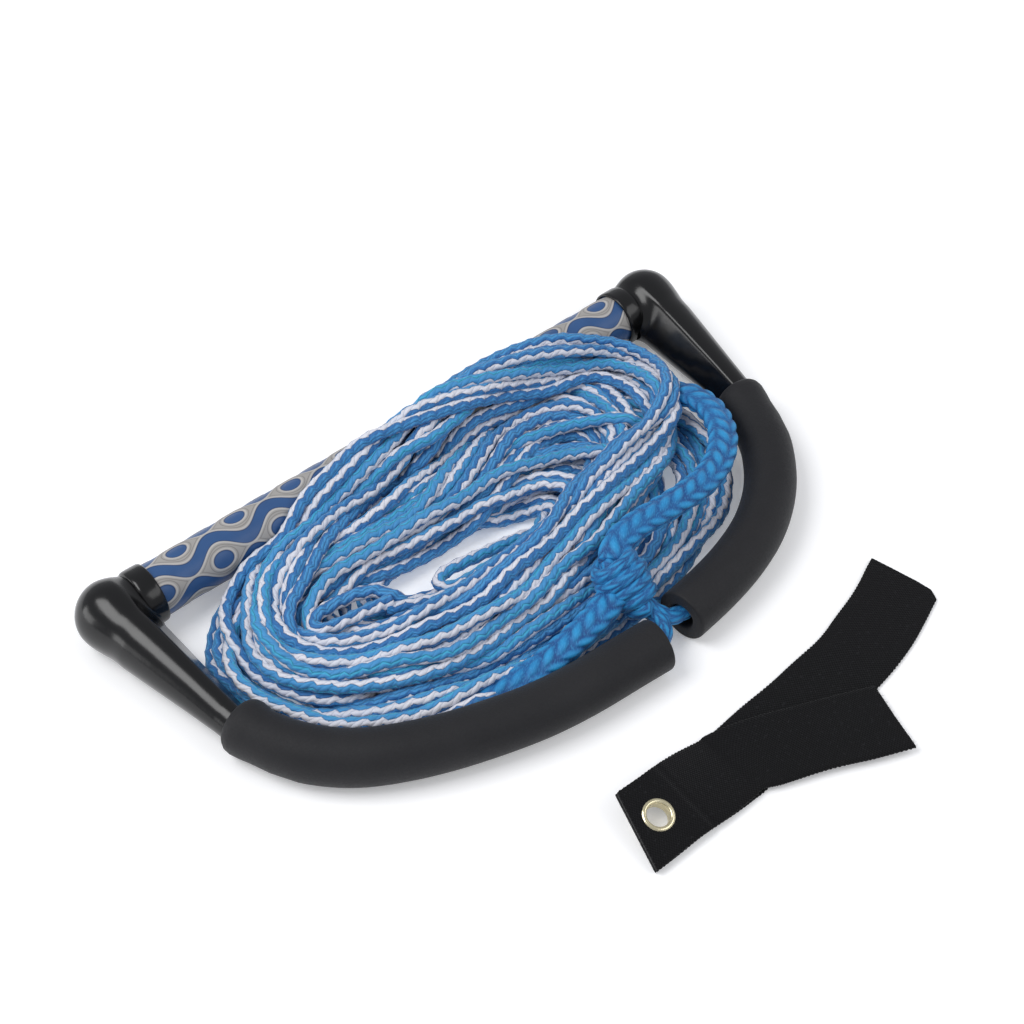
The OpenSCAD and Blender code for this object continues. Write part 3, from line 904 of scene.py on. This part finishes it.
def add_knot(mat):
    """Wraps round the place where the leader and the bridle rope meet: one strand, wound close."""
    rng = np.random.default_rng(11)
    axis = unit(KNOT_AXIS)
    side = unit(np.cross(axis, UP))
    over = np.cross(side, axis)
    turns = np.linspace(0, KNOT_WRAPS, 281)
    ang = 2 * math.pi * turns + 3.6
    swell = np.interp(turns / KNOT_WRAPS, (0, 0.12, 0.4, 0.75, 1), (0.62, 0.98, 1.06, 0.86, 0.62))
    r = (WRAP_R + np.interp(turns, np.arange(0, 6), rng.normal(0, 0.45, 6))) * swell
    shift = (turns - KNOT_WRAPS / 2) * WRAP_PITCH + 2.0 * np.sin(ang + 0.6)
    p = shift[:, None] * axis + (r * np.cos(ang))[:, None] * side * 1.08 + (r * np.sin(ang))[:, None] * over
    p = np.vstack([axis * -5, p, axis * 6]) + KNOT_CENTRE
    wraps = resample(smooth_line(p, 4), 0.7)
    mesh = tube("knot_wraps", wraps, (WRAP_HALF, WRAP_HALF), 36, braid(8, 7.0, 0.5))
    place(mesh, mat, "bridle", "blue_rope", "bridle_knot")
    core = resample(smooth_line([KNOT_CENTRE + axis * q for q in (-15, 0, 15)]), 0.8)
    mesh = tube("knot_core", core, (6.8, 6.6), 40, braid(8, 7.0, 0.6), taper=core_taper)
    place(mesh, mat, "bridle", "blue_rope")


# ---- grip and end caps

SLEEVE_BORE = 11.05


def round_bar(x, r, ang):
    """Points at x along the bar, r from its axis and turned by ang from the top."""
    return np.stack(np.broadcast_arrays(x, -r * np.sin(ang), BAR_Z + r * np.cos(ang)), -1)


def add_grip(mat):
    """The moulded sleeve, with its dots and wavy bands sunk and their rims raised."""
    x = np.arange(-SLEEVE_HALF, SLEEVE_HALF + 0.01, 0.75)
    gx, gd = np.meshgrid(x, ring_angles(176) * 360.0 + ROW_SEAM, indexing="ij")
    dot, band = grip_pattern(gx[:, :-1], gd[:, :-1] + 1e-6)
    near = np.minimum(dot, band)
    rise = 0.16 * np.exp(-(((near - 0.6) / 0.35) ** 2)) + 0.09 * np.exp(-(((near - 2.3) / 0.4) ** 2))
    rise -= 0.22 / (1 + np.exp(near / 0.12))
    ang = np.radians(gd[:, :-1])
    outer, inner = [round_bar(gx[:, :-1], r, ang) for r in (GRIP_R - 0.12 + rise, SLEEVE_BORE)]
    v = np.concatenate([inner[:1], outer, inner[-1:]])
    gx, gd = [np.concatenate([g[:1], g, g[-1:]]) for g in (gx, gd)]
    place(grid_mesh("grip_moulding", v[::-1], gx[::-1], gd[::-1]), mat, "handle", "grip", "grip_sleeve")


def blend_min(a, b, k):
    """The smaller of two distances, rounded over the width k where they are about the same."""
    h = np.clip(0.5 + 0.5 * (b - a) / k, 0, 1)
    return b * (1 - h) + a * h - k * h * (1 - h)


# The right cap's elbow: centre and half sizes
ELBOW_AT, ELBOW_HALF = np.array([173.0, 0.0, 17.0]), np.array([13.3, 17.0, 15.6])
# Its neck and its arm: from, to, and (share of the way, half width, half height)
NECK = (np.array([156.0, 0, 17]), np.array([176.0, 0, 17]), np.array([(0, 14.1, 14.1), (1, 13.2, 13.2)]))
ARM = (np.array([173.0, 0.0, 17.0]), np.array([161.6, -97.0, 13.6]), np.array([
    (0.0, 14.8, 16.8), (0.12, 15.3, 16.7), (0.25, 15.0, 15.9), (0.42, 13.4, 14.3), (0.65, 11.2, 11.8),
    (0.85, 9.6, 9.4), (1.0, 8.9, 8.6)]))
FACET_TURN, FACET_CUT = math.radians(31), 0.77


def bar_field(p, a, b, halves):
    """Distance outside a round bar from a to b, and, as shares of its half width and half height
    there, how far across and up each point is; then the smaller half."""
    span = b - a
    u = np.clip(((p - a) @ span) / (span @ span), 0, 1)
    hx, hz = (np.interp(u, halves[:, 0], halves[:, k]) for k in (1, 2))
    q = p - (a + u[..., None] * span)
    axis = unit(span)
    side = unit(np.cross(axis, UP))
    x, z, along = (q @ side) / hx, (q @ np.cross(side, axis)) / hz, (q @ axis) / hx
    least = np.minimum(hx, hz)
    return (np.sqrt(x**2 + z**2 + along**2) - 1) * least, x, z, least


def cap_field(p):
    """Below 0 inside the right cap's elbow and arm, which has one flat along its inner top edge."""
    q = (p - ELBOW_AT) / ELBOW_HALF
    k = np.linalg.norm(q, axis=-1)
    elbow = k * (k - 1) / (np.linalg.norm(q / ELBOW_HALF, axis=-1) + 1e-9)
    neck = bar_field(p, *NECK)[0]
    arm, x, z, least = bar_field(p, *ARM)
    flat = (x * math.cos(FACET_TURN) + z * math.sin(FACET_TURN) - FACET_CUT) * least
    return blend_min(blend_min(elbow, neck, 5.0), -blend_min(-arm, -flat, 0.7), 8.0)


# The line inside the cap that its sections are cut across, and the hinge that they fan out from
CAP_SPINE = [
    (152, 0, 17), (158, 0, 17), (164, -0.6, 17), (169.5, -4, 17), (172.2, -10, 16.9), (172.6, -18, 16.6),
    (171.8, -28, 16.1), (169.6, -45, 15.3), (166.4, -65, 14.5), (163.2, -82, 13.8), (162.2, -91, 13.7)]
CAP_HINGE = [154.0, -20.0]
# (distance ahead, share of the last section's size) round the arm's tip, into its rope channel
CAP_TIP = [(0.25, 0.97), (0.4, 0.9), (0.4, 0.55), (-3.0, 0.53), (-14.0, 0.52)]
# (place along the bar, radius) over the collar
COLLAR = np.array([
    (153.4, 14.05), (150.3, 14.05), (150.0, 14.3), (149.9, 14.9), (150.1, 15.35), (150.6, 15.6),
    (152.0, 15.7), (156.0, 15.75), (158.4, 15.7), (159.4, 15.45), (160.0, 15.0), (160.4, 14.2), (161.0, 13.0)])


def surface_reach(line, d):
    """How far it is from each point of a line inside the cap to its surface, along directions d."""
    r = np.zeros(d.shape[:2])
    reach = np.linspace(0, 30, 61)
    for near, far in zip(reach, reach[1:]):
        inside = cap_field(line[:, None] + d * far) < 0
        r = np.where(inside & (r >= near - 1e-9), far, r)
    lo, hi = r, r + 0.5
    for _ in range(12):
        mid = (lo + hi) / 2
        inside = cap_field(line[:, None] + d * mid[..., None]) < 0
        lo, hi = np.where(inside, mid, lo), np.where(inside, hi, mid)
    return lo


def add_caps(mat):
    """Two end caps, each a collar round the grip's end and an arm with a flat along its inner top edge."""
    line = resample(smooth_line(CAP_SPINE, 16, 0.6), 0.9)
    dx, dy = (line[:, :2] - CAP_HINGE).T
    in_bend = (line[:, 0] > 157) & (line[:, 1] > CAP_HINGE[1])
    t = unit(np.where(in_bend[:, None], unit(np.stack([dy, -dx, 0 * dx], -1)), frames(line, True)[0]))
    for _ in range(14):
        t[1:-1] = unit(t[1:-1] + (t[:-2] + t[2:]) / 2)
    side = unit(np.cross(t, UP))
    over = np.cross(side, t)
    ang = 2 * math.pi * ring_angles(96)[:-1]
    d = np.cos(ang)[None, :, None] * side[:, None] + np.sin(ang)[None, :, None] * over[:, None]
    v = line[:, None] + d * surface_reach(line, d)[..., None]
    v[..., 2] = np.maximum(v[..., 2], 0.1)
    first = int(np.argmax(line[:, 0] > 156.5))
    centre = v[-1].mean(0)
    tip = [centre + (v[-1] - centre) * shrink + t[-1] * ahead for ahead, shrink in CAP_TIP]
    s = distance_along(line)
    s = np.r_[s[first:], s[-1] + 0.5 * np.arange(1, len(tip) + 1)]
    arm = np.concatenate([v[first:], tip])
    collar = round_bar(COLLAR[:, :1], COLLAR[:, 1:], ang[None, :])
    for sign, name in ((-1, "end_cap_left"), (1, "end_cap_right")):
        # Mirroring turns faces inside out, and taking the rings in the other order turns them back
        mesh = ring_mesh(f"{name}_arm", arm[::sign] * [sign, 1, 1], s[::sign])
        place(mesh, mat, "handle", "cap", name)
        order = np.arange(len(COLLAR))[::-sign] * 1.0
        mesh = ring_mesh(f"{name}_collar", collar[::-sign] * [sign, 1, 1], order)
        place(mesh, mat, "handle", "cap")


# ---- keeper strap

# The webbing's width and thickness, and its weave's pitch along and across it
WEB_W, WEB_T = 38.0, 1.9
RIB, WARP = 1.35, 1.9
LAYER_2, TAIL_Z, TAPED_Z = 2.15, 2.55, 3.25
# Stations along the strap's pieces: x, y, heading and tilt in degrees, and height where it isn't level
COMMON = [(-66, -246.5, 0, 17), (-60, -246.5, 0, 17), (-34, -246.5, 0, 17), (-24, -246.5, 0, 12),
          (-12, -246.5, 0, 5), (-2, -246.5, 0, 0), (4, -246.5, 0, 0)]
LONG_TAIL = [(30, -244.5, 4, 0), (60, -242, 5, 0), (86, -239.5, 8, 0), (104, -235.5, 15, 0),
             (124, -229.5, 18, 0), (146.5, -220.5, 18, 0), (156, -217.4, 18, 0)]
SHORT_TAIL = [(20, -252, -20, 0, TAIL_Z), (42, -261, -22, 0, TAPED_Z), (60, -269, -20, 0, TAPED_Z),
              (77.5, -276.5, -17, 0, TAPED_Z)]
# How far the end by the grommet is cut back, from the strip's lower edge at 0 to its upper one at 1
SLANT = [(0, 2.5), (1, 11.0)]


def add_strip(name, stations, cut_start, cut_end, mat, body, nodes, lift0=0.0, width=WEB_W, thick=WEB_T,
              hole=None, patch=None, scallop=0.26, seed=1):
    """A strip of webbing with scalloped edges. cut_start and cut_end give how far in from each end it is
    cut at points across it, from 0 at its lower edge to 1."""
    fine = smooth_line(stations, 24, 1.0)
    s = distance_along(fine[:, :2])
    share = np.linspace(0, 1, int(width / 0.5) + 1)
    first, last = np.interp(share, *zip(*cut_start)), s[-1] - np.interp(share, *zip(*cut_end))
    u = np.linspace(0, 1, int(s[-1] / 0.45) + 1)[:, None]
    at = first[None, :] * (1 - u) + last[None, :] * u
    val = [np.interp(at, s, column) for column in fine.T]
    head, tilt = np.radians(val[2]), np.radians(val[3])
    across = np.stack([-np.sin(head) * np.cos(tilt), np.cos(head) * np.cos(tilt), np.sin(tilt)], -1)
    up = np.stack([np.sin(head) * np.sin(tilt), -np.cos(head) * np.sin(tilt), np.cos(tilt)], -1)
    ypos = np.broadcast_to((share - 0.5) * width, at.shape)
    base = np.stack([val[0], val[1], WEB_W / 2 * np.sin(tilt)], -1)

    edge = np.clip((abs(ypos) - (width / 2 - 2.5)) / 2.5, 0, 1)
    uneven = 0.55 + 0.45 * np.sin(at / 3.7 + 2 * seed + np.sign(ypos)) * np.sin(at / 8.3)
    wave = scallop * uneven * np.cos(2 * math.pi * at / 2.1 + np.sin(at / 5.0)) * edge**2
    waver = 0.35 * np.sin(at / 9.0 + seed) * np.sin(at / 23.0)
    y = ypos + np.sign(ypos) * (wave + waver * edge)
    cell = np.cos(2 * math.pi * at / RIB) * (np.cos(2 * math.pi * ypos / WARP) + 0.5)
    half = thick / 2 * (1 - 0.35 * edge**3) + 0.07 * cell
    middle = lift0 + (val[4] if len(val) > 4 else 0) + thick / 2
    bulge = 0.0 if patch is None else patch(base[..., 0], ypos)
    top, low = [base + across * y[..., None] + up * rise[..., None]
                for rise in (middle + half + bulge, middle - half)]

    def round_strip(over, under):
        """Values over the top and back under it, one for each point of the mesh."""
        return np.concatenate([over, under[:, ::-1]], 1).reshape(-1, *over.shape[2:])

    points = round_strip(top, low)
    rows, cols = at.shape
    m = 2 * cols
    i, k = [g.ravel() for g in np.meshgrid(np.arange(rows - 1), np.arange(m), indexing="ij")]
    k1 = (k + 1) % m
    faces = np.stack([i * m + k, (i + 1) * m + k, (i + 1) * m + k1, i * m + k1], -1)
    if hole is not None:
        (hole_x, hole_y), radius = hole
        dx, dy = round_strip(base[..., 0], base[..., 0]) - hole_x, round_strip(ypos, ypos) - hole_y
        d = np.hypot(dx, dy)
        inside = d < radius
        faces = faces[~inside[faces].all(1)]
        grow = (radius / np.maximum(d, 0.5) - 1) * (inside & (d > 0))
        points = points + (grow * dy)[:, None] * round_strip(across, across)
        points[:, 0] += grow * dx
    q = np.arange(cols - 1)
    end = np.stack([q, q + 1, m - 2 - q, m - 1 - q], -1)
    faces = np.vstack([faces, end, end[:, ::-1] + (rows - 1) * m])
    used, faces = np.unique(faces, return_inverse=True)
    uv = np.stack([round_strip(at, at), round_strip(ypos, ypos)], -1)[used][faces.ravel()]
    return place(make_mesh(name, points[used], faces.reshape(-1, 4).tolist(), uv), mat, body, *nodes)


GROMMET = next(m for m in frame["record"]["mounts"] if m["name"] == "grommet_hole")
GROMMET_AT = np.array(GROMMET["pos_m"]) / MM - [0, BAR_Y, 0]
GROMMET_AXIS = np.array(GROMMET["axis"], float)
GROMMET_R = GROMMET["dims"]["r_mm"]
CLAMPED = 2.08
# (distance outside the hole, height) round the rim's section and the back washer's
RIM = [(0.75, -CLAMPED - 0.8), (0.02, -CLAMPED - 0.85), (0, -CLAMPED - 0.5), (0, CLAMPED - 0.1),
       (0.05, CLAMPED + 0.5), (0.35, CLAMPED + 0.95), (0.9, CLAMPED + 1.15), (1.5, CLAMPED + 1.1),
       (2.1, CLAMPED + 0.8), (2.55, CLAMPED + 0.35), (2.75, CLAMPED - 0.1), (2.6, CLAMPED - 0.15),
       (0.75, CLAMPED - 0.1)]
WASHER = [(0.8, -CLAMPED - 0.85), (1.6, -CLAMPED - 0.9), (2.4, -CLAMPED - 0.7), (2.75, -CLAMPED - 0.2),
          (2.6, -CLAMPED + 0.05), (0.8, -CLAMPED + 0.05)]


def add_grommet(mat):
    """Two rings, each its section turned about the grommet's axis."""
    axis = unit(GROMMET_AXIS)
    x = unit(np.cross(axis, [0, 1.0, 0]))
    w = ring_angles(72)[:-1] * 2 * math.pi
    d = np.cos(w)[:, None] * x + np.sin(w)[:, None] * np.cross(axis, x)
    for name, node, section in (("grommet_rim", "grommet", RIM), ("grommet_back", "grommet_washer", WASHER)):
        v = np.array([GROMMET_AT + (GROMMET_R + out) * d + height * axis for out, height in section])
        mesh = ring_mesh(name, v[::-1], np.arange(len(v)) * 1.0, scale=50)
        place(mesh, mat, "strap", "brass", node)


def add_fray(name, ends, outward, count, mat, body, seed):
    """Loose fibres along a cut end, between two points."""
    rng = np.random.default_rng(seed)
    a, b = (np.array(e, float) for e in ends)
    out = unit(np.array(outward, float))
    section = [np.array([math.cos(w) * 0.7, math.cos(w) * 0.7, math.sin(w)])
               for w in np.arange(3) * 2 * math.pi / 3]
    sides = [[q * 3 + w, q * 3 + (w + 1) % 3, q * 3 + 3 + (w + 1) % 3, q * 3 + 3 + w]
             for q in range(3) for w in range(3)]
    points, faces = [], []
    for _ in range(count):
        p = a + (b - a) * rng.uniform(0, 1)
        heading = unit(out + rng.normal(0, 0.45, 3) * [1, 1, 0.35])
        long = rng.uniform(0.6, 2.0)
        curl = rng.normal(0, 0.35, 3) * [1, 1, 0.4]
        faces += [[len(points) + corner for corner in face] for face in sides]
        for f in np.arange(4) / 3:
            centre = p + heading * long * f + curl * f * f
            centre[2] = max(centre[2], 0.15)
            points += [centre + 0.09 * (1 - 0.7 * f) * way for way in section]
    return place(make_mesh(name, np.array(points), faces), mat, body, "webbing")


def end_patch(x, y):
    """The strap's sewn end: the webbing is doubled back under the top layer, out to a slanting line."""
    edge = -31.5 - 0.10 * y
    return 0.75 / (1 + np.exp((x - edge) / 0.45)) - 0.35 * np.exp(-(((x - edge - 2.2) / 1.6) ** 2))


def add_strap(cloth, hooks):
    """The two layers of webbing, the hook tape under the short tail, and the frayed cut ends."""
    hole = (GROMMET_AT[0], 0), GROMMET_R + 0.9
    low = add_strip("strap_lower_web", COMMON + LONG_TAIL, SLANT,
                    [(0, 15.0), (0.12, 11.0), (0.35, 9.6), (1, 7.6)], cloth, "strap",
                    ("webbing", "strap_lower_layer"), hole=hole)
    lifted = [q + (LAYER_2,) for q in COMMON]
    top = add_strip("strap_upper_web", lifted + SHORT_TAIL, SLANT, [(0, 0.0), (0.5, 0.3), (1, 0.0)], cloth,
                    None, ("webbing", "strap_top_base", "strap_top_tail"), hole=hole, patch=end_patch, seed=2)
    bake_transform(top)
    add_strip("hook_tape_cloth", SHORT_TAIL[1:], [(0, 0.5), (1, 0.5)], [(0, 3.0), (1, 3.0)], hooks,
              "strap_tail", ("hook", "hook_tape"), lift0=-0.85, width=32.0, thick=0.65, scallop=0.0, seed=3)
    frays = [
        add_fray("strap_fray_long", ((141, -203, 1.2), (149.5, -236, 1.2)), (0.94, 0.3, 0), 90, cloth,
                 "strap", 5),
        add_fray("strap_fray_short", ((82.5, -258.6, 4.3), (72.3, -294, 4.3)), (0.9, -0.3, 0), 50, cloth,
                 "strap_tail", 6),
    ]


# ---- the whole set


def paint_kept_nodes():
    """The bar tube and the rope inside it keep their CAD meshes."""
    metal = plain("drawn_aluminium", (0.72, 0.73, 0.75), 0.35, (500.0, 2, 0.0001, 0.3), metal=1.0,
                  gloss=(200.0, 0.28, 0.48))
    core = plain("core_rope", (0.03, 0.26, 0.60), 0.6, (900.0, 3, 0.0004, 0.6))
    for node, mat in (("bar_tube", metal), ("bridle_rope_core", core)):
        frame["nodes"][node].material_slots[0].material = mat.m


add_camera()
add_stage()
BRAID = blue_rope()
add_tow_rope(striped_rope(), BRAID)
FOAM = float_foam()
add_float("left", FOAM)
add_float("right", FOAM)
add_bridle_ropes(BRAID)
add_knot(BRAID)
add_grip(grip_rubber())
add_caps(plain("gloss_black", (0.003, 0.003, 0.0034), 0.16, (220.0, 2, 0.0002, 0.12),
               gloss=(90.0, 0.15, 0.24), specular=0.42))
add_strap(webbing(), hook_cloth())
add_grommet(plain("pale_brass", (0.74, 0.66, 0.42), 0.24, (700.0, 2, 0.0001, 0.3), metal=1.0,
                  tones=(300.0, (0.66, 0.58, 0.36), (0.82, 0.76, 0.55)), gloss=(300.0, 0.16, 0.36)))
paint_kept_nodes()
bpy.context.view_layer.update()
